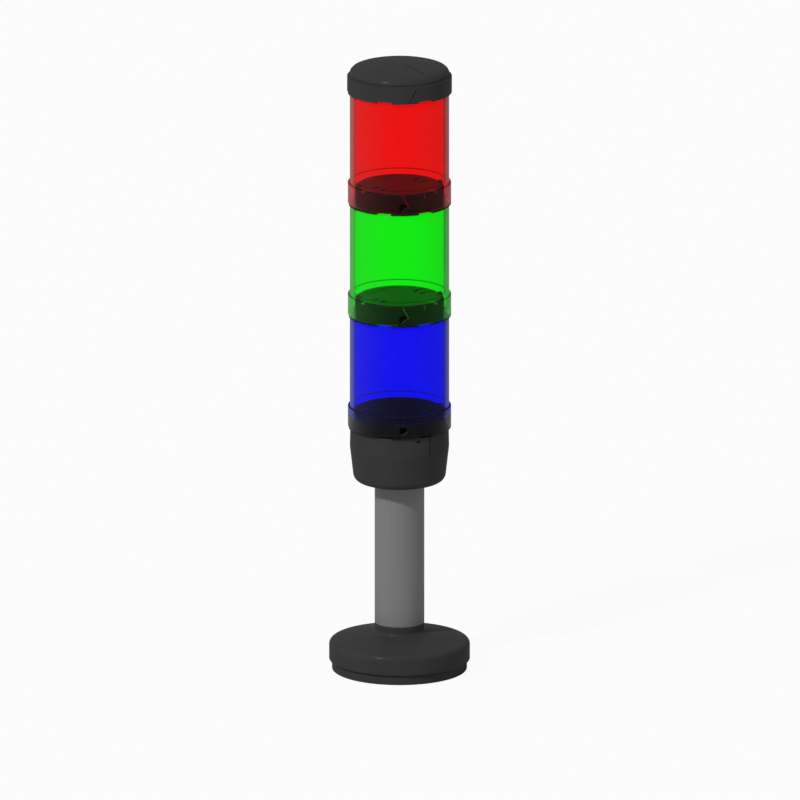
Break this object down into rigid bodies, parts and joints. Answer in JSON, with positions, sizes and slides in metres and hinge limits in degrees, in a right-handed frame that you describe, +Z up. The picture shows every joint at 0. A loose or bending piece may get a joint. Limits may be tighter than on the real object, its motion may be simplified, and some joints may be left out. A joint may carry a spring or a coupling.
{
  "type": "stack light",
  "caption": "Signal tower light: transparent red, green and blue twist-lock elements on a tube with a round foot.",
  "frame": {"origin": "centre of the foot's underside, on the surface that the foot is screwed to", "axes": "+Z up along the column's axis, -Y towards the front, +X to the right of the front view"},
  "size_m": [0.0709, 0.0708, 0.315],
  "materials": {
    "black_plastic": "satin moulded black plastic",
    "inner_black": "matt black moulded plastic",
    "tube_metal": "satin anodised tube",
    "steel": "blackened steel screw",
    "smoke_clear": "smoke-grey transparent plastic",
    "blue_clear": "blue transparent plastic",
    "green_clear": "green transparent plastic",
    "red_clear": "red transparent plastic",
    "board": "circuit board with solder mask",
    "lamp": "light-emitting diode package",
    "contact_brass": "plated contact spring"
  },
  "bodies": {
    "base": {"foot_base_plate": "black_plastic", "foot_cover": "black_plastic", "tube_spigot": "inner_black", "column_tube": "tube_metal", "terminal_housing": "black_plastic", "housing_grub_screw": "steel", "terminal_cover": "inner_black", "terminal_block": "inner_black", "base_contact_block": "inner_black"},
    "blue_element": {"blue_lens": "blue_clear", "blue_smoke_ring": "smoke_clear", "blue_carrier": "inner_black", "blue_led_board": "board", "blue_lamps": "lamp", "blue_contact_springs": "contact_brass", "blue_contact_strips": "contact_brass", "blue_contact_block": "inner_black"},
    "green_element": {"green_lens": "green_clear", "green_carrier": "inner_black", "green_led_board": "board", "green_lamps": "lamp", "green_contact_springs": "contact_brass", "green_contact_strips": "contact_brass", "green_contact_block": "inner_black"},
    "red_element": {"red_lens": "red_clear", "red_carrier": "inner_black", "red_led_board": "board", "red_lamps": "lamp", "red_contact_springs": "contact_brass", "red_contact_strips": "contact_brass", "red_contact_block": "inner_black"},
    "cap": {"cap": "black_plastic"}
  },
  "joints": [
    {"name": "blue_twist", "type": "hinge", "parent": "base", "child": "blue_element", "pos_m": [0, 0, 0.126], "axis": [0, 0, 1], "range_deg": [0, 16]},
    {"name": "green_twist", "type": "hinge", "parent": "blue_element", "child": "green_element", "pos_m": [0, 0, 0.18416], "axis": [0, 0, 1], "range_deg": [0, 16]},
    {"name": "red_twist", "type": "hinge", "parent": "green_element", "child": "red_element", "pos_m": [0, 0, 0.24232], "axis": [0, 0, 1], "range_deg": [0, 16]},
    {"name": "cap_twist", "type": "hinge", "parent": "red_element", "child": "cap", "pos_m": [0, 0, 0.30048], "axis": [0, 0, 1], "range_deg": [0, 16]}
  ]
}
